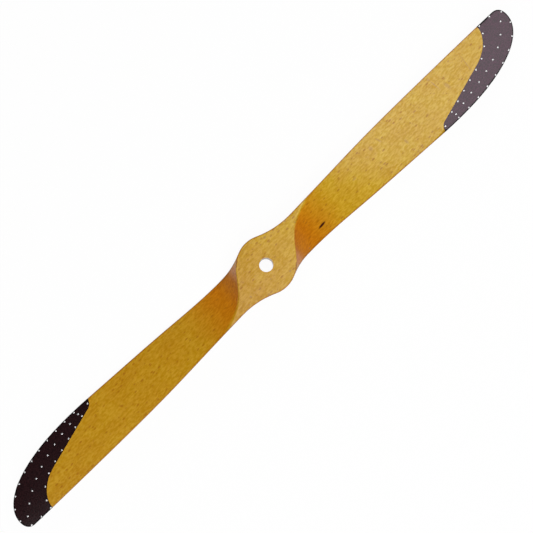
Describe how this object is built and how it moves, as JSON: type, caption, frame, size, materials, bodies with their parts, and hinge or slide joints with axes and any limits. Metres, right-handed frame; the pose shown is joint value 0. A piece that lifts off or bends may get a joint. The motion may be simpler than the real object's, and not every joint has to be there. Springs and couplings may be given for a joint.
{
  "type": "aircraft propeller",
  "caption": "Carved wooden fixed-pitch propeller with broad, rounded blades, riveted dark tip sheaths and a plain bored hub.",
  "frame": {"origin": "centre of the bore at the hub's front face, the one that seats on the drive washer and that the propeller lies on", "axes": "+Z along the bore to the rear face, +X along one blade to its tip, that blade's leading edge towards -Y"},
  "size_m": [0.508, 0.0564, 0.022],
  "materials": {
    "varnished_beech": "glossy clear varnish over golden beech",
    "sheath_lacquer": "glossy dark maroon lacquer",
    "rivet_metal": "bright, low domed heads"
  },
  "bodies": {
    "root": {"carved_propeller": "varnished_beech", "tip_sheaths": "sheath_lacquer", "inner_rivets_1": "rivet_metal", "inner_rivets_2": "rivet_metal", "middle_rivets_1": "rivet_metal", "middle_rivets_2": "rivet_metal", "edge_rivets_1": "rivet_metal", "edge_rivets_2": "rivet_metal"}
  },
  "joints": []
}
